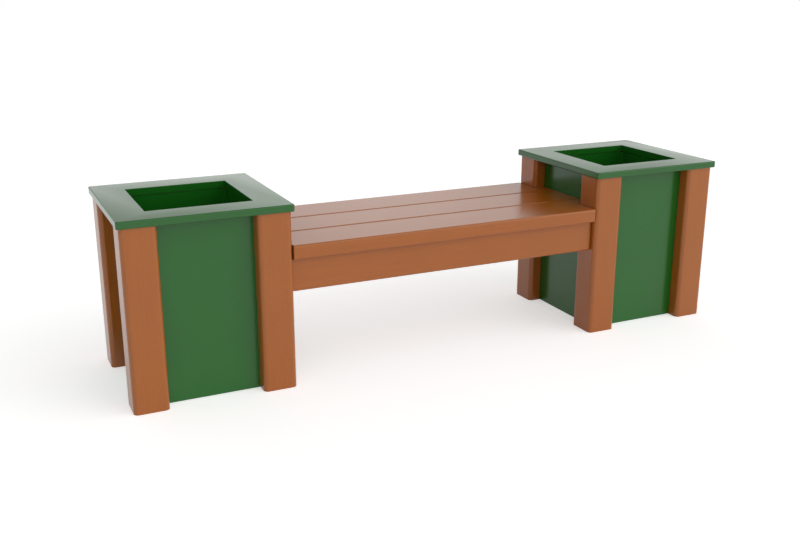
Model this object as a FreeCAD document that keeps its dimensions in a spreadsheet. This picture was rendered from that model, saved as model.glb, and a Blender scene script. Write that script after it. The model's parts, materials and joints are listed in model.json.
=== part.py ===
# Park bench whose seat spans two square planters.
# Millimetres, +Z up, +X along the seat, +Y towards the back.
# The origin is on the ground under the middle of the seat.
import FreeCAD, Part
import os
import re
import Sketcher
from FreeCAD import Rotation, Vector

# Driving sizes, one spreadsheet row each
SIZES = {
    # Seat planks and the aprons on edge under them
    "seat_span": 919.2,
    "plank_width": 138.9,
    "plank_thickness": 38.1,
    "plank_round": 5.0,
    "plank_gap": 1.0,
    "seat_height": 381.0,
    "seat_inset": 0.2,
    "end_gap": 2.4,
    "tongue_gap": 1.0,
    "apron_height": 88.9,
    "apron_thickness": 38.1,
    "apron_recess": 19.05,
    "apron_round": 6.0,
    # End ledgers and the middle batten
    "ledger_width": 38.1,
    "batten_width": 88.9,
    "batten_height": 38.1,
    "batten_round": 4.0,
    "batten_clearance": 0.5,
    # Planter posts and panels
    "planter_width": 419.1,
    "post_width": 88.9,
    "post_height": 469.9,
    "post_round": 12.7,
    "panel_thickness": 12.7,
    "panel_recess": 38.1,
    "panel_ground_gap": 1.0,
    "panel_top_gap": 0.5,
    "groove_depth": 12.7,
    "groove_clearance": 0.3,
    "tongue_clearance": 1.0,
    # Top trim and the cleats that hold it
    "trim_board": 82.0,
    "trim_thickness": 19.05,
    "trim_overhang": 6.35,
    "trim_corner_round": 5.0,
    "trim_edge_round": 3.0,
    "top_cleat_width": 19.05,
    "top_cleat_height": 19.05,
    "cleat_clearance": 0.5,
    # Floor boards, floor cleats and liner
    "floor_height": 50.8,
    "floor_thickness": 12.7,
    "floor_clearance": 1.0,
    "floor_cleat_width": 38.1,
    "floor_cleat_height": 38.1,
    "liner_wall": 3.2,
    "liner_round": 20.0,
    "liner_clearance": 1.1,
    "liner_top_gap": 1.5,
    "drain_hole_radius": 6.0,
    "drain_hole_spread": 60.0,
    "drain_gap": 14.0,
    # The least that a rounded edge leaves of the face beside it
    "round_margin": 0.5,
    # Angle brackets
    "bracket_leg": 30.0,
    "bracket_width": 30.0,
    "bracket_thickness": 3.2,
    "bracket_hole_inset": 15.0,
    "bracket_drop": 2.0,
    # Countersunk screws
    "screw_radius": 2.1,
    "screw_head_radius": 4.2,
    "screw_head_height": 2.6,
    "screw_tip_length": 4.0,
    "screw_tip_radius": 0.3,
    "screw_clearance": 0.1,
    "hole_end_gap": 1.0,
    "trim_screw_inset": 45.0,
    "trim_screw_bite": 9.5,
    "cleat_screw_inset": 20.0,
    "cleat_screw_bite": 6.4,
    "floor_screw_inset": 40.0,
    "floor_screw_bite": 6.4,
    "plank_screw_bite": 25.4,
    "plank_screw_spread": 35.0,
    "edge_screw_near": 15.0,
    "edge_screw_far": 25.0,
    "batten_screw_spread": 22.0,
    "bracket_screw_bite": 22.0,
    # Lag screws through the ledgers into the posts
    "lag_radius": 4.0,
    "lag_bite": 32.0,
    "lag_gap": 1.5,
    "lag_head_radius": 7.5,
    "lag_head_height": 5.3,
    "washer_radius": 10.0,
    "washer_thickness": 1.6,
}

# Sizes that follow from the driving ones
PLANK_ROWS = {"front": -1, "middle": 0, "back": 1}
PLANKS = len(PLANK_ROWS)
SEAT_DEPTH = f"({PLANKS} * plank_width + {PLANKS - 1} * plank_gap)"
PLANTER_DEPTH = f"({SEAT_DEPTH} + 2 * seat_inset)"
HALF_WIDTH = "(planter_width / 2)"
HALF_DEPTH = f"({PLANTER_DEPTH} / 2)"
HALF_SPAN = "(seat_span / 2)"
BOARD_END = f"({HALF_SPAN} - end_gap)"
TONGUE_END = f"({HALF_SPAN} + panel_recess - tongue_gap)"
TONGUE_SIDE = f"({HALF_DEPTH} - post_width - tongue_gap)"
PLANTER_OFFSET = f"({HALF_SPAN} + {HALF_WIDTH})"
PANEL_INNER = "(panel_recess + panel_thickness)"
PLANK_UNDERSIDE = "(seat_height - plank_thickness)"
BATTEN_UNDERSIDE = f"({PLANK_UNDERSIDE} - batten_height)"
APRON_INNER = f"({HALF_DEPTH} - apron_recess - apron_thickness)"
FLOOR_TOP = "(floor_height + floor_thickness)"
REBATE = f"({PANEL_INNER} + top_cleat_width)"
LINER_OUTSIDE = f"({REBATE} + liner_clearance)"
LAG_LINE = f"({APRON_INNER} - washer_radius - lag_gap)"

SIDES = {"left": -1, "right": 1}
ENDS = {"outer": 1, "inner": -1}
DEPTHS = {"front": -1, "back": 1}
SIGNS = (-1, 1)
# The angle in radians that counts as parallel, and the distance that counts as none
PARALLEL = 0.04
TOUCH = 0.01

doc = FreeCAD.newDocument("bench_with_planters")
sheet = doc.addObject("Spreadsheet::Sheet", "Sizes")
for row, (alias, number) in enumerate(SIZES.items(), start=1):
    sheet.set(f"A{row}", alias)
    sheet.set(f"B{row}", str(number))
    sheet.setAlias(f"B{row}", alias)
doc.recompute()


def full(text):
    """The expression with each size's name pointed at its cell."""
    return re.sub(r"[a-z_]+", lambda m: f"Sizes.{m[0]}" if m[0] in SIZES else m[0], text)


def value(text):
    """The number that an expression comes to."""
    return float(sheet.evalExpression(full(text)))


def bind(thing, target, text):
    thing.setExpression(target, full(text))


def put(thing, x="0", y="0", z="0"):
    """Places an object at a point given by expressions."""
    for axis, text in zip("xyz", (x, y, z)):
        bind(thing, f".Placement.Base.{axis}", text)


def loop_in(sketch, corners):
    """Adds one closed loop of straight lines, every corner tied to its two expressions."""
    first = sketch.GeometryCount
    points = [Vector(value(a), value(b), 0) for a, b in corners]
    for start, end in zip(points, points[1:] + points[:1]):
        sketch.addGeometry(Part.LineSegment(start, end), False)
    for i, (a, b) in enumerate(corners):
        line = first + i
        after = first + (i + 1) % len(corners)
        sketch.addConstraint(Sketcher.Constraint("Coincident", line, 2, after, 1))
        for axis, text in (("X", a), ("Y", b)):
            number = sketch.addConstraint(
                Sketcher.Constraint("Distance" + axis, -1, 1, line, 1, value(text))
            )
            sketch.renameConstraint(number, f"corner{line}_{axis.lower()}")
            bind(sketch, f"Constraints.corner{line}_{axis.lower()}", text)


def prism(name, loops, start, length, plane="XY_Plane"):
    """A body padded from closed loops, from its start along the plane's normal."""
    body = doc.addObject("PartDesign::Body", name)
    sketch = body.newObject("Sketcher::SketchObject", name + "_profile")
    origin_plane = next(f for f in body.Origin.OriginFeatures if f.Role == plane)
    sketch.AttachmentSupport = [(origin_plane, "")]
    sketch.MapMode = "FlatFace"
    bind(sketch, ".AttachmentOffset.Base.z", start)
    for corners in loops:
        loop_in(sketch, corners)
    pad = body.newObject("PartDesign::Pad", name + "_pad")
    pad.Profile = sketch
    bind(pad, "Length", length)
    doc.recompute()
    return body


def rectangle(x0, x1, y0, y1):
    return [(x0, y0), (x1, y0), (x1, y1), (x0, y1)]


def round_edges(body, radius, chosen):
    """Fillets the edges of a body's last feature that the chosen test picks."""
    base = body.Tip
    names = [f"Edge{i}" for i, e in enumerate(base.Shape.Edges, start=1) if chosen(e)]
    fillet = body.newObject("PartDesign::Fillet", body.Name + "_round")
    fillet.Base = (base, names)
    bind(fillet, "Radius", radius)
    doc.recompute()


def along(axis):
    """A test for straight edges that run along one axis."""

    def chosen(edge):
        return edge.tangentAt(edge.FirstParameter).isParallel(axis, PARALLEL)

    return chosen


X_AXIS = Vector(1, 0, 0)
Y_AXIS = Vector(0, 1, 0)
Z_AXIS = Vector(0, 0, 1)


def turned(thing, direction):
    """Turns a primitive that is made along +Z towards a direction."""
    thing.Placement = FreeCAD.Placement(Vector(), Rotation(Z_AXIS, direction))


def stacked(name, kind, seat, direction, offset, sizes):
    """A round primitive on a fastener's axis, an offset along it from the seat."""
    thing = doc.addObject("Part::" + kind, name)
    turned(thing, direction)
    for target, text in sizes.items():
        bind(thing, target, text)
    steps = [f"{text} + {round(d)} * ({offset})" for text, d in zip(seat, direction)]
    put(thing, *steps)
    return thing


def screw(name, seat, direction, length, extra="0", beyond="0"):
    """A countersunk screw whose head lies flush at its seat; extra and beyond make it its hole."""
    shank = f"screw_radius + {extra}"
    head = {"Radius1": f"screw_head_radius + {extra}", "Radius2": shank, "Height": "screw_head_height"}
    stem = {"Radius": shank, "Height": f"{length} - screw_tip_length + {beyond}"}
    tip = {"Radius1": shank, "Radius2": f"screw_tip_radius + {extra}", "Height": "screw_tip_length"}
    return [
        stacked(name + "_head", "Cone", seat, direction, "0", head),
        stacked(name + "_stem", "Cylinder", seat, direction, "0", stem),
        stacked(name + "_tip", "Cone", seat, direction, f"{length} - screw_tip_length + {beyond}", tip),
    ]


def lag(name, seat, direction, length):
    """A hexagon-headed lag screw with its washer; the washer bears on the seat."""
    washer = {"Radius": "washer_radius", "Height": "washer_thickness"}
    head = {"Circumradius": "lag_head_radius", "Height": "lag_head_height"}
    stem = {"Radius": "lag_radius", "Height": f"{length} + washer_thickness"}
    top = "-washer_thickness - lag_head_height"
    return [
        stacked(name + "_washer", "Cylinder", seat, direction, "-washer_thickness", washer),
        stacked(name + "_head", "Prism", seat, direction, top, head),
        stacked(name + "_stem", "Cylinder", seat, direction, "-washer_thickness", stem),
    ]


def fused(name, pieces):
    group = doc.addObject("Part::MultiFuse", name)
    group.Shapes = pieces
    return group


def screws_and_holes(name, seats, length):
    """A group of equal screws, and the group of holes that they need."""
    solids = []
    holes = []
    for i, (seat, direction) in enumerate(seats):
        solids += screw(f"{name}_{i}", seat, direction, length)
        holes += screw(f"{name}_hole_{i}", seat, direction, length, "screw_clearance", "hole_end_gap")
    return fused(name, solids), fused(name + "_holes", holes)


def drilled(blank, *holes):
    """The blank with each group of holes cut out of it."""
    for hole in holes:
        cut = doc.addObject("Part::Cut", blank.Name + "_bored")
        cut.Base = blank
        cut.Tool = hole
        blank = cut
    return blank


nodes = {}


def keep(name, thing):
    """Names a finished sub-part."""
    thing.Label = name
    if thing.Label != name:
        raise RuntimeError(f"another object is already called {name}")
    nodes[name] = thing


# Seat screws, holes and lags, in the bench's own frame
def ledger_seats():
    """Screws up through each end ledger into the planks."""
    near = "plank_width / 2 + plank_gap + edge_screw_near"
    far = f"{APRON_INNER} - edge_screw_far"
    seats = []
    for side in SIGNS:
        x = f"{side} * ({HALF_SPAN} - ledger_width / 2)"
        for y in ("plank_screw_spread", near, far):
            for sign in SIGNS:
                seats.append(((x, f"{sign} * ({y})", BATTEN_UNDERSIDE), Z_AXIS))
    return seats


def batten_seats():
    """Screws up through the middle batten into the planks."""
    middle = f"(plank_width / 2 + {APRON_INNER}) / 2"
    seats = []
    for sign in SIGNS:
        for row in PLANK_ROWS.values():
            point = (f"{sign} * batten_screw_spread", f"{row} * ({middle})", BATTEN_UNDERSIDE)
            seats.append((point, Z_AXIS))
    return seats


END_BRACKET_BASE = f"({BATTEN_UNDERSIDE} - bracket_drop - bracket_width)"


def bracket_seats():
    """Screws through both legs of every angle bracket."""
    seats = []
    level = f"{END_BRACKET_BASE} + bracket_width / 2"
    for depth in SIGNS:
        to_apron = f"{depth} * ({APRON_INNER} - bracket_thickness)"
        inset = f"{depth} * ({APRON_INNER} - bracket_hole_inset)"
        for side in SIGNS:
            beside = f"{side} * ({HALF_SPAN} - bracket_hole_inset)"
            to_post = f"{side} * ({HALF_SPAN} - bracket_thickness)"
            seats.append(((beside, to_apron, level), Y_AXIS * depth))
            seats.append(((to_post, inset, level), X_AXIS * side))
        below = f"{BATTEN_UNDERSIDE} - bracket_hole_inset"
        seats.append((("0", to_apron, below), Y_AXIS * depth))
        seats.append((("0", inset, f"{BATTEN_UNDERSIDE} - bracket_thickness"), Z_AXIS))
    return seats


plank_screws, plank_screw_holes = screws_and_holes(
    "plank_screws", ledger_seats() + batten_seats(), "(batten_height + plank_screw_bite)"
)
keep("plank_screws", plank_screws)
bracket_screws, bracket_screw_holes = screws_and_holes(
    "bracket_screws", bracket_seats(), "(bracket_thickness + bracket_screw_bite)"
)
keep("bracket_screws", bracket_screws)

lag_solids = []
lag_bores = []
for side in SIGNS:
    for depth in SIGNS:
        seat = (
            f"{side} * ({HALF_SPAN} - ledger_width)",
            f"{depth} * {LAG_LINE}",
            f"{BATTEN_UNDERSIDE} + batten_height / 2",
        )
        lag_solids += lag("ledger_lags", seat, X_AXIS * side, "(ledger_width + lag_bite)")
        depth_of_bore = "ledger_width + lag_bite + hole_end_gap"
        bore = {"Radius": "lag_radius + screw_clearance", "Height": depth_of_bore}
        lag_bores.append(stacked("lag_bore", "Cylinder", seat, X_AXIS * side, "0", bore))
keep("ledger_lags", fused("ledger_lags", lag_solids))
lag_holes = fused("lag_holes", lag_bores)

# Seat planks, which run on between the posts to the panels; the outer ones are notched round the posts
for place, row in PLANK_ROWS.items():
    middle = f"{row} * (plank_width + plank_gap)"
    edges = [f"{middle} {way} plank_width / 2" for way in "-+"]
    outline = rectangle(f"-{TONGUE_END}", TONGUE_END, *edges)
    if row:
        near, far = edges if row > 0 else reversed(edges)
        side = f"{row} * {TONGUE_SIDE}"
        half = [(TONGUE_END, near), (TONGUE_END, side), (BOARD_END, side), (BOARD_END, far)]
        outline = half + [(f"-{x}", y) for x, y in reversed(half)]
    blank = prism(f"plank_{place}_blank", [outline], PLANK_UNDERSIDE, "plank_thickness")
    edge_lines = [value(text) for text in edges]

    def long_edge(edge):
        """The edges along the plank, but not those of its notches."""
        line = edge.Vertexes[0].Y
        return along(X_AXIS)(edge) and min(abs(line - y) for y in edge_lines) < TOUCH

    round_edges(blank, "plank_round", long_edge)
    keep(f"seat_plank_{place}", drilled(blank, plank_screw_holes))

# Aprons on edge under the outer planks
for place, depth in DEPTHS.items():
    outline = rectangle(
        f"-{BOARD_END}",
        BOARD_END,
        f"{depth} * {APRON_INNER}",
        f"{depth} * ({APRON_INNER} + apron_thickness)",
    )
    blank = prism(f"apron_{place}_blank", [outline], f"{PLANK_UNDERSIDE} - apron_height", "apron_height")
    round_edges(blank, "apron_round", along(X_AXIS))
    keep(f"apron_{place}", drilled(blank, bracket_screw_holes))

# End ledgers on the posts and the middle batten
BATTEN_END = f"({APRON_INNER} - batten_clearance)"
for place, side in SIDES.items():
    outline = rectangle(
        f"{side} * ({HALF_SPAN} - ledger_width)", f"{side} * {HALF_SPAN}", f"-{BATTEN_END}", BATTEN_END
    )
    blank = prism(f"ledger_{place}_blank", [outline], BATTEN_UNDERSIDE, "batten_height")
    round_edges(blank, "batten_round", along(Y_AXIS))
    keep(f"ledger_{place}", drilled(blank, plank_screw_holes, lag_holes))
outline = rectangle("-batten_width / 2", "batten_width / 2", f"-{BATTEN_END}", BATTEN_END)
blank = prism("batten_blank", [outline], BATTEN_UNDERSIDE, "batten_height")
round_edges(blank, "batten_round", along(Y_AXIS))
keep("middle_batten", drilled(blank, plank_screw_holes, bracket_screw_holes))


def angle_bracket(name, corner, ways, start, plane):
    """An angle with equal legs that run from its corner, one each way."""
    legs = [
        ("0", "0"),
        ("bracket_leg", "0"),
        ("bracket_leg", "bracket_thickness"),
        ("bracket_thickness", "bracket_thickness"),
        ("bracket_thickness", "bracket_leg"),
        ("0", "bracket_leg"),
    ]
    outline = [(f"{corner[0]} + {ways[0]} * {a}", f"{corner[1]} + {ways[1]} * {b}") for a, b in legs]
    blank = prism(name + "_blank", [outline], start, "bracket_width", plane)
    keep(name, drilled(blank, bracket_screw_holes))


# Angle brackets that tie the aprons to the posts and to the middle batten
for place, depth in DEPTHS.items():
    for side_name, side in SIDES.items():
        angle_bracket(
            f"bracket_{place}_{side_name}",
            (f"{side} * {HALF_SPAN}", f"{depth} * {APRON_INNER}"),
            (-side, -depth),
            END_BRACKET_BASE,
            "XY_Plane",
        )
    angle_bracket(
        f"bracket_{place}_middle",
        (f"{depth} * {APRON_INNER}", BATTEN_UNDERSIDE),
        (-depth, -1),
        "-bracket_width / 2",
        "YZ_Plane",
    )


# The planters, each built about its own middle and moved to its end of the seat
def inside(sign, half, distance):
    """A coordinate that lies a distance inside the planter's face on that side."""
    return f"{sign} * ({half} - ({distance}))"


def frame_loop(distance):
    """A rectangle that lies a distance inside the planter's four faces."""
    x0, x1 = (inside(sign, HALF_WIDTH, distance) for sign in SIGNS)
    y0, y1 = (inside(sign, HALF_DEPTH, distance) for sign in SIGNS)
    return rectangle(x0, x1, y0, y1)


def post(name, x_sign, y_sign):
    """A corner post, grooved for its two panels and rebated for the liner's corner."""
    near = "panel_recess - groove_clearance"
    far = f"{PANEL_INNER} + groove_clearance"
    bottom = "post_width - groove_depth"
    profile = [
        ("0", "0"),
        ("post_width", "0"),
        ("post_width", near),
        (bottom, near),
        (bottom, far),
        ("post_width", far),
        ("post_width", REBATE),
        (REBATE, REBATE),
        (REBATE, "post_width"),
        (far, "post_width"),
        (far, bottom),
        (near, bottom),
        (near, "post_width"),
        ("0", "post_width"),
    ]
    corners = [(inside(x_sign, HALF_WIDTH, a), inside(y_sign, HALF_DEPTH, b)) for a, b in profile]
    blank = prism(name, [corners], "0", "post_height")
    rounded = [Vector(value(a), value(b), 0) for a, b in (corners[0], corners[1], corners[-1])]

    def at_corner(edge):
        """The upright edges of the square, but not those of the grooves and the rebate."""
        foot = Vector(edge.Vertexes[0].X, edge.Vertexes[0].Y, 0)
        return along(Z_AXIS)(edge) and any(foot.isEqual(point, TOUCH) for point in rounded)

    round_edges(blank, "min(post_round; panel_recess - groove_clearance - round_margin)", at_corner)
    return blank


def cleat(name, direction, sign, width, bottom, height):
    """A batten behind a panel, from post to post."""
    reach = "post_width + cleat_clearance"
    inner = f"{PANEL_INNER} + {width}"
    if direction == "x":
        x = [inside(s, HALF_WIDTH, reach) for s in SIGNS]
        y = [inside(sign, HALF_DEPTH, d) for d in (PANEL_INNER, inner)]
    else:
        x = [inside(sign, HALF_WIDTH, d) for d in (PANEL_INNER, inner)]
        y = [inside(s, HALF_DEPTH, reach) for s in SIGNS]
    return prism(name, [rectangle(*x, *y)], bottom, height)


def panel(name, direction, sign):
    """A sheet whose upright edges stand in the posts' grooves."""
    reach = "post_width - groove_depth + tongue_clearance"
    if direction == "x":
        x = [inside(s, HALF_WIDTH, reach) for s in SIGNS]
        y = [inside(sign, HALF_DEPTH, d) for d in ("panel_recess", PANEL_INNER)]
    else:
        x = [inside(sign, HALF_WIDTH, d) for d in ("panel_recess", PANEL_INNER)]
        y = [inside(s, HALF_DEPTH, reach) for s in SIGNS]
    height = "post_height - panel_top_gap - panel_ground_gap"
    return prism(name, [rectangle(*x, *y)], "panel_ground_gap", height)


# Each wall's name, the way it runs, and the side that it stands on
WALLS = (("front", "x", -1), ("back", "x", 1), ("outer", "y", 1), ("inner", "y", -1))
END_WALLS = WALLS[2:]


def wall_seats(distance, inset, level, upright=False, walls=WALLS):
    """Two screws on each wall, an inset from the posts, driven outwards or upright."""
    along_wall = f"post_width + {inset}"
    seats = []
    for _, direction, sign in walls:
        for other in SIGNS:
            if direction == "x":
                place = (inside(other, HALF_WIDTH, along_wall), inside(sign, HALF_DEPTH, distance))
                outward = Y_AXIS * sign
            else:
                place = (inside(sign, HALF_WIDTH, distance), inside(other, HALF_DEPTH, along_wall))
                outward = X_AXIS * sign
            seats.append(((*place, level), Z_AXIS if upright else outward))
    return seats


TOP_CLEAT_BASE = "(post_height - top_cleat_height)"
TOP_CLEAT_MIDDLE = "(post_height - top_cleat_height / 2)"
FLOOR_CLEAT_BASE = "(floor_height - floor_cleat_height)"
FLOOR_CLEAT_MIDDLE = "(floor_height - floor_cleat_height / 2)"
TRIM_SEATS = wall_seats(f"{PANEL_INNER} + top_cleat_width / 2", "trim_screw_inset", TOP_CLEAT_BASE, True)
TOP_CLEAT_SEATS = wall_seats(REBATE, "cleat_screw_inset", TOP_CLEAT_MIDDLE)
FLOOR_CLEAT_SEATS = wall_seats(
    f"{PANEL_INNER} + floor_cleat_width", "floor_screw_inset", FLOOR_CLEAT_MIDDLE, walls=END_WALLS
)


def trim_blank(name):
    """A flat frame with rounded outer corners and eased edges."""
    loops = [frame_loop("-trim_overhang"), frame_loop("trim_board - trim_overhang")]
    blank = prism(name, loops, "post_height", "trim_thickness")
    half_width = value(f"{HALF_WIDTH} + trim_overhang - trim_board")
    half_depth = value(f"{HALF_DEPTH} + trim_overhang - trim_board")
    middle = value("post_height + trim_thickness / 2")

    def outside(edge):
        """Edges beyond the opening's own."""
        box = edge.BoundBox
        sideways = max(box.XMax, -box.XMin) > half_width + TOUCH
        return sideways or max(box.YMax, -box.YMin) > half_depth + TOUCH

    def upright_outside(edge):
        return along(Z_AXIS)(edge) and outside(edge)

    def top_or_outside(edge):
        flat = edge.BoundBox.ZLength < TOUCH
        return flat and (outside(edge) or edge.BoundBox.ZMin > middle)

    round_edges(blank, "trim_corner_round", upright_outside)
    round_edges(blank, "min(trim_edge_round; trim_corner_round - round_margin)", top_or_outside)
    return blank


def liner_blank(name):
    """An open tub that stands on the floor, its corners in the posts' rebates."""
    height = f"post_height - liner_top_gap - {FLOOR_TOP}"
    blank = prism(name, [frame_loop(LINER_OUTSIDE)], FLOOR_TOP, height)
    round_edges(blank, "max(liner_round; liner_wall + round_margin)", along(Z_AXIS))
    solid = blank.Tip
    top = max(range(len(solid.Shape.Faces)), key=lambda i: solid.Shape.Faces[i].CenterOfMass.z)
    shell = blank.newObject("PartDesign::Thickness", name + "_shell")
    shell.Base = (solid, [f"Face{top + 1}"])
    shell.Reversed = True
    bind(shell, "Value", "liner_wall")
    doc.recompute()
    return blank


def floor_blank(name, depth):
    """One of the two boards between the panels, stepped round its posts, short of the drain gap."""
    edge = f"{PANEL_INNER} + floor_clearance"
    step = "post_width + floor_clearance"
    nook = f"{REBATE} + floor_clearance"
    steps = [(edge, step), (nook, step), (nook, nook), (step, nook), (step, edge)]
    ends = []
    for side in SIGNS:
        end = [(inside(side, HALF_WIDTH, edge), f"{depth} * drain_gap / 2")]
        end += [(inside(side, HALF_WIDTH, a), inside(depth, HALF_DEPTH, b)) for a, b in steps]
        ends.append(end)
    return prism(name, [ends[0] + ends[1][::-1]], "floor_height", "floor_thickness")


drains = []
for across in (-1, 0, 1):
    drain = doc.addObject("Part::Cylinder", "drain")
    bind(drain, "Radius", "min(drain_hole_radius; drain_gap / 2 - round_margin)")
    bind(drain, "Height", "liner_wall + 2 * hole_end_gap")
    put(drain, x=f"{across} * drain_hole_spread", z=f"{FLOOR_TOP} - hole_end_gap")
    drains.append(drain)
drain_holes = fused("drain_holes", drains)


def moved(place, thing):
    """Moves a planter's piece to its end of the seat."""
    bind(thing, ".Placement.Base.x", f"{SIDES[place]} * {PLANTER_OFFSET}")
    return thing


def add_posts(place):
    """Four posts; the two next to the seat also take its lags and bracket screws."""
    for end_name, end in ENDS.items():
        for depth_name, depth in DEPTHS.items():
            name = f"{place}_post_{depth_name}_{end_name}"
            thing = moved(place, post(name + "_blank", SIDES[place] * end, depth))
            if end_name == "inner":
                thing = drilled(thing, lag_holes, bracket_screw_holes)
            keep(name, thing)


def add_screws(place, name, seats, length):
    """One of a planter's groups of screws; returns their holes."""
    screws, holes = screws_and_holes(f"{place}_{name}", seats, length)
    keep(f"{place}_{name}", moved(place, screws))
    return holes


def add_walls(place, trim_holes):
    """The panels, the top cleats behind them and the two cleats under the floor."""
    top_length = "(top_cleat_width + cleat_screw_bite)"
    top_holes = add_screws(place, "top_cleat_screws", TOP_CLEAT_SEATS, top_length)
    floor_length = "(floor_cleat_width + floor_screw_bite)"
    floor_holes = add_screws(place, "floor_cleat_screws", FLOOR_CLEAT_SEATS, floor_length)
    for wall in WALLS:
        wall_name, direction, sign = wall
        facing = sign * SIDES[place] if wall in END_WALLS else sign
        name = f"{place}_panel_{wall_name}"
        blank = panel(name + "_blank", direction, facing)
        holes = [top_holes, floor_holes] if wall in END_WALLS else [top_holes]
        keep(name, moved(place, drilled(blank, *holes)))
        name = f"{place}_top_cleat_{wall_name}"
        section = ("top_cleat_width", TOP_CLEAT_BASE, "top_cleat_height")
        blank = cleat(name + "_blank", direction, facing, *section)
        keep(name, moved(place, drilled(blank, trim_holes, top_holes)))
    for wall_name, direction, sign in END_WALLS:
        name = f"{place}_floor_cleat_{wall_name}"
        section = ("floor_cleat_width", FLOOR_CLEAT_BASE, "floor_cleat_height")
        blank = cleat(name + "_blank", direction, sign * SIDES[place], *section)
        keep(name, moved(place, drilled(blank, floor_holes)))


def add_tub(place):
    """The floor boards and the liner that stands on them, drained through the gap between them."""
    for depth_name, depth in DEPTHS.items():
        name = f"{place}_floor_{depth_name}"
        keep(name, moved(place, floor_blank(name + "_blank", depth)))
    keep(f"{place}_liner", moved(place, drilled(liner_blank(f"{place}_liner_blank"), drain_holes)))


for place in SIDES:
    add_posts(place)
    trim_holes = add_screws(place, "trim_screws", TRIM_SEATS, "(top_cleat_height + trim_screw_bite)")
    keep(f"{place}_top_trim", moved(place, drilled(trim_blank(f"{place}_trim_blank"), trim_holes)))
    add_walls(place, trim_holes)
    add_tub(place)

doc.recompute()

for thing in doc.Objects:
    if "Invalid" in thing.State or "Error" in thing.State:
        raise RuntimeError(f"{thing.Label} did not recompute: {thing.State}")
for name, thing in nodes.items():
    shape = thing.Shape
    if shape.isNull() or not shape.isValid() or not shape.Solids:
        raise RuntimeError(f"{name} has no sound solid")

os.makedirs("parts", exist_ok=True)
for name, thing in nodes.items():
    thing.Shape.exportStep(f"parts/{name}.step")
    box = thing.Shape.BoundBox
    low = f"{box.XMin:.1f} {box.YMin:.1f} {box.ZMin:.1f}"
    high = f"{box.XMax:.1f} {box.YMax:.1f} {box.ZMax:.1f}"
    print(f"{name}: {len(thing.Shape.Solids)} solids, from {low} to {high}")
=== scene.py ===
import json
import math

import bmesh
import bpy
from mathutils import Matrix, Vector


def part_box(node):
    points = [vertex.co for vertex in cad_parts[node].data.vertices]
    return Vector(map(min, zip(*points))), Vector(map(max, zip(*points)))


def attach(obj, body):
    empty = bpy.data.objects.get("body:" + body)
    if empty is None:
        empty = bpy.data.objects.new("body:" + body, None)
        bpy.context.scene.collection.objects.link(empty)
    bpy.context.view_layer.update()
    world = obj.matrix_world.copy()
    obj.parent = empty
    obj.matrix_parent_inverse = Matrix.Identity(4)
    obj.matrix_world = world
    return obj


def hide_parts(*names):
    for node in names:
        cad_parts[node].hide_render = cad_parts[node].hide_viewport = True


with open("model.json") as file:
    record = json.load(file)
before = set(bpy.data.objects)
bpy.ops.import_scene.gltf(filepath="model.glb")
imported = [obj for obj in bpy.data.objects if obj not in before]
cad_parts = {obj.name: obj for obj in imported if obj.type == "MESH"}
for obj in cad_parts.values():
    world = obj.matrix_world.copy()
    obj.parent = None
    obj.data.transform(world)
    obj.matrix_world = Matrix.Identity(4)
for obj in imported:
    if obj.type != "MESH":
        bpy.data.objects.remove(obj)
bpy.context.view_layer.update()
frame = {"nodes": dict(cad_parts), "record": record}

MM = 0.001

SIDES = ("left", "right")
DEPTHS = ("front", "back")
ENDS = ("outer", "inner")
ALONG_X = 0
ALONG_Y = 1
ALONG_Z = 2

# Lumber; the grooves and the rebate are measured from a post's outer corner
POST_ROUND = 12.7 * MM
PLANK_ROUND = 5.0 * MM
APRON_ROUND = 6.0 * MM
LUMBER_EASE = 0.6 * MM
GROOVE_NEAR = 37.8 * MM
GROOVE_FAR = 51.1 * MM
GROOVE_BOTTOM = 76.2 * MM
POST_REBATE = 69.85 * MM

# Sheet and tub; the crown is how far the shading of a trim's top leans outwards at its rim, along x and y
PANEL_EASE = 0.5 * MM
TRIM_CORNER = 5.0 * MM
TRIM_EDGE = 3.0 * MM
TRIM_BOARD = 82.0 * MM
TRIM_MOUTH_CORNER = 1.0 * MM
TRIM_MOUTH_EDGE = 1.0 * MM
TRIM_CROWN = Vector((0.09, 0.055, 0))
LINER_CORNER = 20.0 * MM
LINER_WALL = 3.2 * MM
DRAIN_RADIUS = 6.0 * MM
DRAIN_SPREAD = 60.0 * MM

# Meshes
BIG_ROUND_STEPS = 8
ROUND_STEPS = 4
EASE_STEPS = 2
DRAIN_VERTICES = 32
FLOOR_VERTICES = 96
SMOOTH_ANGLE = math.radians(50)
SHARP_ANGLE = math.radians(60)
PARALLEL = 0.999
FACES_DOWN = -0.99
FACES_END = 0.9
NEARBY = 1.0 * MM

# Looks: colours are linear, scales are in waves per metre, a stretch below 1 draws a pattern out
CEDAR = (0.405, 0.11, 0.009)
CEDAR_CUT = (0.36, 0.13, 0.035)
PANEL_GREEN = (0.008, 0.126, 0.008)
TRIM_GREEN = (0.008, 0.115, 0.008)
BATTEN_BROWN = (0.16, 0.07, 0.03)
ZINC_GREY = (0.52, 0.53, 0.55)
STEEL_GREY = (0.62, 0.61, 0.6)
PLASTIC_IOR = 1.57
SHEET_IOR = 1.54
PATTERN_SHIFT = 9.0
NOISE_SPAN = (0.3, 0.7)
STREAK_SCALE = 420
STREAK_STRETCH = 0.02
STREAK_SHARE = 0.7
PORE_SCALE = 1300
PORE_STRETCH = 0.06
PORE_SPAN = (0.66, 0.76)
PORE_LEVEL = 0.72
GRAIN_SCALE = 900
LUMBER_CLOUD_SCALE = 9
SHEET_CLOUD_SCALE = 7
SKIN_SCALE = 700
SKIN_SHARE = 0.6
SAW_SCALE = 120
SAW_STRETCH = 0.08
CUT_PORE_SCALE = 1400
GRAIN_DEPTH = 0.02 * MM
PORE_DEPTH = 0.04 * MM
CLOUD_DEPTH = 0.15 * MM
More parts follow.
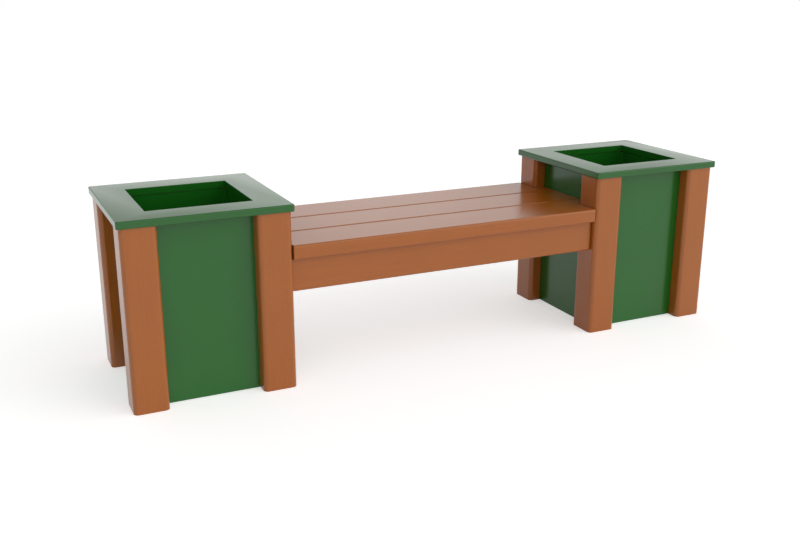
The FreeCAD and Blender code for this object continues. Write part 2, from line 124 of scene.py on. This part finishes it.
SKIN_DEPTH = 0.01 * MM
SAW_DEPTH = 0.15 * MM
CUT_PORE_DEPTH = 0.1 * MM

# Floor, with the strength of its glow for camera rays and for gloss
FLOOR_RADIUS = 30
FLOOR_ALBEDO = 0.9
FLOOR_GLOW = 0.49
GLOSS_GLOW = 0.39
WHITE = (1, 1, 1, 1)

# Studio: an even level, and soft lights that each have a direction, a sharpness and a strength;
# the small ones behind the bench are there for their reflections in the seat and the trims
EVEN_LIGHT = 0.35
LIGHTS = {
    "wide, front right": ((1, -1, 0.35), 4, 1.85),
    "from the photo's side": ((-0.45, -0.9, 0.38), 12, 0.84),
    "wide, behind": ((0, 1, 0.25), 4, 0.45),
    "small, behind, high": ((0.46, 0.79, 0.41), 60, 0.62),
    "small, back right, low": ((0.7, 0.7, 0.07), 60, 0.73),
    "small, behind, a little up": ((0.38, 0.91, 0.17), 90, 0.44),
    "small, behind, low": ((0.17, 0.98, 0.03), 60, 0.35),
}

# Camera, fitted to the photograph's straight edges
PHOTO_WIDTH = 800
FOCAL_PIXELS = 965.2
SENSOR_WIDTH = 36
CAMERA_YAW = -25.028
CAMERA_PITCH = -16.953
CAMERA_PLACE = (-1198.8 * MM, -2423.2 * MM, 1034.6 * MM)


# Materials
def new_material(name, ior=PLASTIC_IOR):
    made = bpy.data.materials.new(name)
    made.use_nodes = True
    shader = made.node_tree.nodes["Principled BSDF"]
    shader.inputs["IOR"].default_value = ior
    return made, made.node_tree, shader


def add(tree, kind, settings=(), **inputs):
    """A shader node with its settings and its inputs, each a plain value or another node's output."""
    node = tree.nodes.new("ShaderNode" + kind)
    for key, setting in dict(settings).items():
        setattr(node, key, setting)
    for key, given in inputs.items():
        number = key.removeprefix("at")
        socket = node.inputs[int(number)] if number.isdigit() else node.inputs[key.replace("_", " ")]
        if isinstance(given, bpy.types.NodeSocket):
            tree.links.new(given, socket)
        else:
            socket.default_value = given
    return node


def math_node(tree, operation, *values):
    inputs = {f"at{i}": value for i, value in enumerate(values)}
    return add(tree, "Math", {"operation": operation}, **inputs).outputs[0]


def own_place(tree):
    """Each piece's own coordinates, shifted by its random number so that no two pieces look alike."""
    place = add(tree, "TexCoord").outputs["Object"]
    chance = add(tree, "ObjectInfo").outputs["Random"]
    shift = math_node(tree, "MULTIPLY", chance, PATTERN_SHIFT)
    return add(tree, "VectorMath", {"operation": "ADD"}, at0=place, at1=shift).outputs[0]


def stretched(axis, stretch):
    return tuple(stretch if i == axis else 1.0 for i in range(3))


def noise(tree, place, scale, detail, stretch=(1, 1, 1), roughness=0.5):
    mapped = add(tree, "Mapping", Vector=place, Scale=stretch).outputs[0]
    made = add(tree, "TexNoise", Vector=mapped, Scale=scale, Detail=detail, Roughness=roughness)
    return made.outputs["Fac"]


def between(tree, chance, low, high, span=NOISE_SPAN):
    """A number from low to high as the noise goes over a span, its usual one unless given."""
    inputs = {"Value": chance, "From_Min": span[0], "From_Max": span[1], "To_Min": low, "To_Max": high}
    return add(tree, "MapRange", **inputs).outputs[0]


def blended(tree, first, share, second):
    """Two patterns in one, the first with the given share and the second with the rest."""
    rest = math_node(tree, "MULTIPLY", second, 1 - share)
    return math_node(tree, "MULTIPLY_ADD", first, share, rest)


def tint(tree, chance, colour, spread):
    """The colour made darker and lighter by a share, as the noise goes."""
    ramp = add(tree, "ValToRGB", Fac=chance)
    for stop, place, level in zip(ramp.color_ramp.elements, NOISE_SPAN, (1 - spread, 1 + spread)):
        stop.position = place
        stop.color = (*(c * level for c in colour), 1)
    return ramp.outputs[0]


def bumped(tree, height, depth, normal=None):
    """The surface's normal with a pattern pressed into it, on top of another one where that is given."""
    inputs = {"Height": height, "Distance": depth, "Strength": 1.0}
    if normal:
        inputs["Normal"] = normal
    return add(tree, "Bump", **inputs).outputs[0]


def lumber(name, axis, colour, spread, gloss):
    """Moulded plastic lumber with fine streaks, short dark pores and a brushed grain along one axis."""
    made, tree, shader = new_material(name)
    place = own_place(tree)
    long = stretched(axis, STREAK_STRETCH)
    short = stretched(axis, PORE_STRETCH)
    streaks = noise(tree, place, STREAK_SCALE, detail=4, stretch=long, roughness=0.6)
    clouds = noise(tree, place, LUMBER_CLOUD_SCALE, detail=3)
    tinted = tint(tree, blended(tree, streaks, STREAK_SHARE, clouds), colour, spread)
    specks = noise(tree, place, PORE_SCALE, detail=1, stretch=short)
    pores = between(tree, specks, 1.0, PORE_LEVEL, PORE_SPAN)
    pitted = add(tree, "VectorMath", {"operation": "SCALE"}, at0=tinted, Scale=pores)
    tree.links.new(pitted.outputs[0], shader.inputs["Base Color"])
    tree.links.new(between(tree, streaks, *gloss), shader.inputs["Roughness"])
    grain = noise(tree, place, GRAIN_SCALE, detail=3, stretch=long, roughness=0.6)
    skin = bumped(tree, pores, PORE_DEPTH, bumped(tree, grain, GRAIN_DEPTH))
    tree.links.new(bumped(tree, clouds, CLOUD_DEPTH, skin), shader.inputs["Normal"])
    return made


def sheet(name, colour, spread, gloss, ior=PLASTIC_IOR):
    """Moulded sheet with an orange-peel skin."""
    made, tree, shader = new_material(name, ior)
    place = own_place(tree)
    clouds = noise(tree, place, SHEET_CLOUD_SCALE, detail=3)
    skin = noise(tree, place, SKIN_SCALE, detail=2)
    blend = blended(tree, skin, SKIN_SHARE, clouds)
    tree.links.new(tint(tree, blend, colour, spread), shader.inputs["Base Color"])
    tree.links.new(between(tree, skin, *gloss), shader.inputs["Roughness"])
    peel = bumped(tree, skin, SKIN_DEPTH)
    tree.links.new(bumped(tree, clouds, CLOUD_DEPTH, peel), shader.inputs["Normal"])
    return made


def cut_lumber(name, colour, spread, gloss):
    """A sawn end: a little paler, rough, with saw marks and fine pores."""
    made, tree, shader = new_material(name)
    place = own_place(tree)
    marks = noise(tree, place, SAW_SCALE, detail=3, stretch=stretched(ALONG_Y, SAW_STRETCH), roughness=0.6)
    pores = noise(tree, place, CUT_PORE_SCALE, detail=2)
    tree.links.new(tint(tree, pores, colour, spread), shader.inputs["Base Color"])
    tree.links.new(between(tree, marks, *gloss), shader.inputs["Roughness"])
    pitted = bumped(tree, pores, CUT_PORE_DEPTH)
    tree.links.new(bumped(tree, marks, SAW_DEPTH, pitted), shader.inputs["Normal"])
    return made


def metal(name, colour, spread, gloss, flakes):
    """Zinc or stainless steel; flakes is the number of spangles in a metre."""
    made, tree, shader = new_material(name)
    place = own_place(tree)
    spangle = add(tree, "TexVoronoi", Vector=place, Scale=flakes).outputs["Color"]
    level = add(tree, "SeparateColor", Color=spangle).outputs[0]
    fine = noise(tree, place, GRAIN_SCALE, detail=3)
    tree.links.new(tint(tree, level, colour, spread), shader.inputs["Base Color"])
    tree.links.new(between(tree, fine, *gloss), shader.inputs["Roughness"])
    tree.links.new(bumped(tree, fine, GRAIN_DEPTH), shader.inputs["Normal"])
    shader.inputs["Metallic"].default_value = 1.0
    return made


LUMBER_X = lumber("lumber_along_x", ALONG_X, CEDAR, spread=0.08, gloss=(0.19, 0.26))
LUMBER_Z = lumber("lumber_along_z", ALONG_Z, CEDAR, spread=0.08, gloss=(0.19, 0.26))
LUMBER_CUT = cut_lumber("lumber_cut", CEDAR_CUT, spread=0.14, gloss=(0.5, 0.7))
PANEL = sheet("panel_sheet", PANEL_GREEN, spread=0.1, gloss=(0.17, 0.24), ior=SHEET_IOR)
TRIM = sheet("trim_sheet", TRIM_GREEN, spread=0.08, gloss=(0.15, 0.22))
LINER = sheet("liner_tub", TRIM_GREEN, spread=0.1, gloss=(0.14, 0.2))
BATTEN = lumber("batten", ALONG_Y, BATTEN_BROWN, spread=0.12, gloss=(0.4, 0.5))
ZINC = metal("galvanised", ZINC_GREY, spread=0.12, gloss=(0.3, 0.45), flakes=160)
STAINLESS = metal("stainless", STEEL_GREY, spread=0.12, gloss=(0.2, 0.3), flakes=900)
BY_SLOT = {
    "cedar_lumber": LUMBER_Z,
    "green_panel": PANEL,
    "green_trim": TRIM,
    "green_liner": LINER,
    "dark_battens": BATTEN,
    "galvanised_brackets": ZINC,
    "stainless_fasteners": STAINLESS,
}
SLOT_OF = {part["node"]: part["material_slot"] for part in frame["record"]["subparts"]}
for name, slot in SLOT_OF.items():
    node = frame["nodes"][name]
    node.data.materials.clear()
    node.data.materials.append(BY_SLOT[slot])


# Pieces
def prism(outline, bottom, top):
    """An upright prism on a closed outline of (x, y) points."""
    mesh = bmesh.new()
    low = [mesh.verts.new((x, y, bottom)) for x, y in outline]
    high = [mesh.verts.new((x, y, top)) for x, y in outline]
    mesh.faces.new(low)
    mesh.faces.new(high)
    for i, corner in enumerate(low):
        mesh.faces.new((low[i - 1], corner, high[i], high[i - 1]))
    bmesh.ops.recalc_face_normals(mesh, faces=mesh.faces)
    return mesh


def box_outline(x0, x1, y0, y1):
    return [(x0, y0), (x1, y0), (x1, y1), (x0, y1)]


def runs_along(edge, axis):
    way = edge.verts[0].co - edge.verts[1].co
    return abs(way[axis]) > PARALLEL * way.length


def round_off(mesh, radius, steps, chosen):
    """Rounds the edges that the chosen test picks."""
    edges = [edge for edge in mesh.edges if chosen(edge)]
    bmesh.ops.bevel(
        mesh, geom=edges, offset=radius, segments=steps, profile=0.5, affect="EDGES", clamp_overlap=False
    )


def ease(mesh, radius):
    """Breaks every edge that is still sharp."""
    round_off(mesh, radius, EASE_STEPS, lambda edge: edge.calc_face_angle(0) > SHARP_ANGLE)


def piece_of(mesh, node, materials, end_axis=None):
    """Turns a mesh into the piece that stands for a node; faces across end_axis get the second material."""
    data = bpy.data.meshes.new(node + "_mesh")
    mesh.to_mesh(data)
    mesh.free()
    data.shade_smooth()
    for material in materials:
        data.materials.append(material)
    if end_axis is not None:
        for face in data.polygons:
            face.material_index = int(abs(face.normal[end_axis]) > FACES_END)
    piece = bpy.data.objects.new(node + "_shaped", data)
    bpy.context.scene.collection.objects.link(piece)
    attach(piece, "root")
    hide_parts(node)
    return piece


def even_out(piece):
    """Shades flat faces flat and the rounds between them smooth."""
    piece.data.set_sharp_from_angle(angle=SMOOTH_ANGLE)
    weighted = piece.modifiers.new("even_faces", "WEIGHTED_NORMAL")
    weighted.keep_sharp = True
    return piece


def planter_middle(side):
    low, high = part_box(f"{side}_top_trim")
    return (low[0] + high[0]) / 2


def post(side, depth, end):
    """A corner post: three rounded corners, two panel grooves and a rebate on the inside."""
    node = f"{side}_post_{depth}_{end}"
    low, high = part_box(node)
    width = high[0] - low[0]
    outward = 1 if low[0] > planter_middle(side) else -1
    backward = 1 if low[1] > 0 else -1
    corner = (high[0] if outward > 0 else low[0], high[1] if backward > 0 else low[1])
    profile = [
        (0, 0),
        (width, 0),
        (width, GROOVE_NEAR),
        (GROOVE_BOTTOM, GROOVE_NEAR),
        (GROOVE_BOTTOM, GROOVE_FAR),
        (width, GROOVE_FAR),
        (width, POST_REBATE),
        (POST_REBATE, POST_REBATE),
        (POST_REBATE, width),
        (GROOVE_FAR, width),
        (GROOVE_FAR, GROOVE_BOTTOM),
        (GROOVE_NEAR, GROOVE_BOTTOM),
        (GROOVE_NEAR, width),
        (0, width),
    ]
    outline = [(corner[0] - outward * a, corner[1] - backward * b) for a, b in profile]
    mesh = prism(outline, low[2], high[2])
    rounded = [Vector(outline[i]) for i in (0, 1, -1)]

    def at_corner(edge):
        foot = edge.verts[0].co.xy
        return runs_along(edge, ALONG_Z) and min((foot - point).length for point in rounded) < NEARBY

    round_off(mesh, POST_ROUND, BIG_ROUND_STEPS, at_corner)
    ease(mesh, LUMBER_EASE)
    return even_out(piece_of(mesh, node, (LUMBER_Z, LUMBER_CUT), ALONG_Z))


def plank(place):
    """A seat plank with rounded long edges; the outer two are notched round the posts."""
    node = f"seat_plank_{place}"
    low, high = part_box(node)
    outline = box_outline(low[0], high[0], low[1], high[1])
    if place != "middle":
        notch_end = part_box("apron_front")[1][0]
        post_low, post_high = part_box(f"left_post_{place}_inner")
        tongue_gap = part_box("right_panel_inner")[0][0] - high[0]
        if place == "front":
            near, far, side = high[1], low[1], post_high[1] + tongue_gap
        else:
            near, far, side = low[1], high[1], post_low[1] - tongue_gap
        half = [(high[0], near), (high[0], side), (notch_end, side), (notch_end, far)]
        outline = half + [(-x, y) for x, y in reversed(half)]
    mesh = prism(outline, low[2], high[2])

    def long_edge(edge):
        y = edge.verts[0].co.y
        return runs_along(edge, ALONG_X) and min(abs(y - low[1]), abs(y - high[1])) < NEARBY

    round_off(mesh, PLANK_ROUND, BIG_ROUND_STEPS, long_edge)
    ease(mesh, LUMBER_EASE)
    return even_out(piece_of(mesh, node, (LUMBER_X, LUMBER_CUT), ALONG_X))


def apron(place):
    """The board on edge under an outer plank."""
    node = f"apron_{place}"
    low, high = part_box(node)
    mesh = prism(box_outline(low[0], high[0], low[1], high[1]), low[2], high[2])
    round_off(mesh, APRON_ROUND, BIG_ROUND_STEPS, lambda edge: runs_along(edge, ALONG_X))
    ease(mesh, LUMBER_EASE)
    return even_out(piece_of(mesh, node, (LUMBER_X, LUMBER_CUT), ALONG_X))


def panel(side, wall):
    """The flat sheet in one wall of a planter."""
    node = f"{side}_panel_{wall}"
    low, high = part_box(node)
    mesh = prism(box_outline(low[0], high[0], low[1], high[1]), low[2], high[2])
    ease(mesh, PANEL_EASE)
    return even_out(piece_of(mesh, node, (PANEL,)))


def square_ring(middle, half, radius, level):
    """A level square ring with rounded corners: its points, and the way that each one faces."""
    points = []
    ways = []
    for quarter in range(4):
        start = quarter * math.pi / 2
        turn = start + math.pi / 4
        diagonal = Vector((math.cos(turn), math.sin(turn), 0)) * math.sqrt(2)
        centre = Vector((middle, 0, level)) + diagonal * (half - radius)
        for step in range(BIG_ROUND_STEPS + 1):
            angle = start + step / BIG_ROUND_STEPS * math.pi / 2
            way = Vector((math.cos(angle), math.sin(angle), 0))
            points.append(centre + way * radius)
            ways.append(way)
    return points, ways


def top_trim(side):
    """A flat frame with rounded edges, drawn as rings from its foot, over its top and down its mouth."""
    node = f"{side}_top_trim"
    low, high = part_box(node)
    middle = planter_middle(side)
    half = (high[0] - low[0]) / 2
    mouth = half - TRIM_BOARD
    turns = [step / ROUND_STEPS * math.pi / 2 for step in range(ROUND_STEPS + 1)]
    rings = []
    for turn in turns:
        inset, rise = TRIM_EDGE * (1 - math.sin(turn)), TRIM_EDGE * (1 - math.cos(turn))
        rings.append((half - inset, TRIM_CORNER - inset, low[2] + rise, math.sin(turn), -math.cos(turn)))
    for turn in reversed(turns):
        inset, drop = TRIM_EDGE * (1 - math.sin(turn)), TRIM_EDGE * (1 - math.cos(turn))
        rings.append((half - inset, TRIM_CORNER - inset, high[2] - drop, math.sin(turn), math.cos(turn)))
    crown_ring = len(rings) - 1
    for turn in turns:
        inset, drop = TRIM_MOUTH_EDGE * (1 - math.sin(turn)), TRIM_MOUTH_EDGE * (1 - math.cos(turn))
        radius = TRIM_MOUTH_CORNER + inset
        rings.append((mouth + inset, radius, high[2] - drop, -math.sin(turn), math.cos(turn)))
    rings.append((mouth, TRIM_MOUTH_CORNER, low[2], -1, 0))
    mesh = bmesh.new()
    loops = []
    facing = []
    for number, (reach, radius, level, out, up) in enumerate(rings):
        points, ways = square_ring(middle, reach, radius, level)
        loops.append([mesh.verts.new(point) for point in points])
        for point, way in zip(points, ways):
            lean = way * out
            if number == crown_ring:
                lean = Vector(((point.x - middle) * TRIM_CROWN.x, point.y * TRIM_CROWN.y, 0)) / half
            facing.append((lean + Vector((0, 0, up))).normalized())
    for ring, after in zip(loops, loops[1:] + loops[:1]):
        for i, corner in enumerate(ring):
            mesh.faces.new((ring[i - 1], corner, after[i], after[i - 1]))
    piece = piece_of(mesh, node, (TRIM,))
    under = Vector((0, 0, -1))
    normals = []
    for face in piece.data.polygons:
        is_foot = face.normal.z < FACES_DOWN
        normals += [under if is_foot else facing[i] for i in face.vertices]
    piece.data.normals_split_custom_set(normals)
    return piece


def liner(side):
    """An open tub with rounded corners and three drain holes in its foot."""
    node = f"{side}_liner"
    low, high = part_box(node)
    middle = planter_middle(side)
    mesh = prism(box_outline(low[0], high[0], low[1], high[1]), low[2], high[2])
    round_off(mesh, LINER_CORNER, BIG_ROUND_STEPS, lambda edge: runs_along(edge, ALONG_Z))
    top = max(mesh.faces, key=lambda face: face.calc_center_median().z)
    mesh.faces.remove(top)
    bmesh.ops.solidify(mesh, geom=mesh.faces[:], thickness=LINER_WALL)
    piece = piece_of(mesh, node, (LINER,))
    for across in (-1, 0, 1):
        bpy.ops.mesh.primitive_cylinder_add(
            vertices=DRAIN_VERTICES,
            radius=DRAIN_RADIUS,
            depth=4 * LINER_WALL,
            location=(middle + across * DRAIN_SPREAD, 0, low[2]),
        )
        drill = bpy.context.object
        hole = piece.modifiers.new("drain", "BOOLEAN")
        hole.object = drill
        hole.solver = "EXACT"
        bpy.context.view_layer.update()
        drilled = piece.evaluated_get(bpy.context.evaluated_depsgraph_get())
        baked = bpy.data.meshes.new_from_object(drilled)
        piece.modifiers.remove(hole)
        piece.data = baked
        bpy.data.objects.remove(drill)
    return even_out(piece)


for side in SIDES:
    for depth in DEPTHS:
        for end in ENDS:
            post(side, depth, end)
    for wall in DEPTHS + ENDS:
        panel(side, wall)
    top_trim(side)
    liner(side)
for place in ("front", "middle", "back"):
    plank(place)
for place in DEPTHS:
    apron(place)

# The floor glows for the camera and for gloss, to look white, but not under the planters' drain holes
bpy.ops.mesh.primitive_circle_add(vertices=FLOOR_VERTICES, radius=FLOOR_RADIUS, fill_type="NGON")
floor = bpy.context.object
floor.name = "floor"
material = bpy.data.materials.new("floor")
material.use_nodes = True
tree = material.node_tree
tree.nodes.remove(tree.nodes["Principled BSDF"])
rays = add(tree, "LightPath").outputs
mirrored = math_node(tree, "MAXIMUM", rays["Is Glossy Ray"], rays["Is Transmission Ray"])
seen = math_node(tree, "MULTIPLY", rays["Is Camera Ray"], FLOOR_GLOW)
glow = math_node(tree, "MULTIPLY_ADD", mirrored, GLOSS_GLOW, seen)
place = add(tree, "SeparateXYZ", Vector=add(tree, "TexCoord").outputs["Object"]).outputs
planter_reach = planter_middle("right")
planter_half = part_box("right_liner")[1][1]
beside = math_node(tree, "SUBTRACT", math_node(tree, "ABSOLUTE", place[0]), planter_reach)
across = math_node(tree, "ABSOLUTE", beside)
along = math_node(tree, "ABSOLUTE", place[1])
under = math_node(tree, "LESS_THAN", math_node(tree, "MAXIMUM", across, along), planter_half)
glow = math_node(tree, "MULTIPLY", glow, math_node(tree, "SUBTRACT", 1.0, under))
lit = add(tree, "Emission", Color=WHITE, Strength=glow).outputs[0]
plain = add(tree, "BsdfDiffuse", Color=(FLOOR_ALBEDO,) * 3 + (1,)).outputs[0]
surface = add(tree, "AddShader", at0=plain, at1=lit).outputs[0]
tree.links.new(surface, tree.nodes["Material Output"].inputs["Surface"])
floor.data.materials.append(material)

# The world holds all the light; the camera sees it as white
world = bpy.data.worlds.new("studio")
bpy.context.scene.world = world
world.use_nodes = True
tree = world.node_tree
direction = add(tree, "TexCoord").outputs["Generated"]
total = EVEN_LIGHT
for way, sharpness, strength in LIGHTS.values():
    towards = Vector(way).normalized()
    closeness = add(tree, "VectorMath", {"operation": "DOT_PRODUCT"}, at0=direction, at1=towards)
    ahead = math_node(tree, "MAXIMUM", closeness.outputs["Value"], 0.0)
    light = math_node(tree, "MULTIPLY", math_node(tree, "POWER", ahead, sharpness), strength)
    total = math_node(tree, "ADD", total, light)
seen = add(tree, "LightPath").outputs["Is Camera Ray"]
level = add(tree, "Mix", Factor=seen, A=total, B=1.0).outputs[0]
tree.links.new(level, tree.nodes["Background"].inputs["Strength"])
tree.nodes["Background"].inputs["Color"].default_value = WHITE

camera_data = bpy.data.cameras.new("camera")
camera_data.sensor_width = SENSOR_WIDTH
camera_data.lens = FOCAL_PIXELS / PHOTO_WIDTH * SENSOR_WIDTH
camera = bpy.data.objects.new("camera", camera_data)
bpy.context.scene.collection.objects.link(camera)
camera.location = CAMERA_PLACE
camera.rotation_euler = (math.radians(90 + CAMERA_PITCH), 0, math.radians(CAMERA_YAW))
bpy.context.scene.camera = camera

bpy.context.scene.view_settings.view_transform = "Standard"
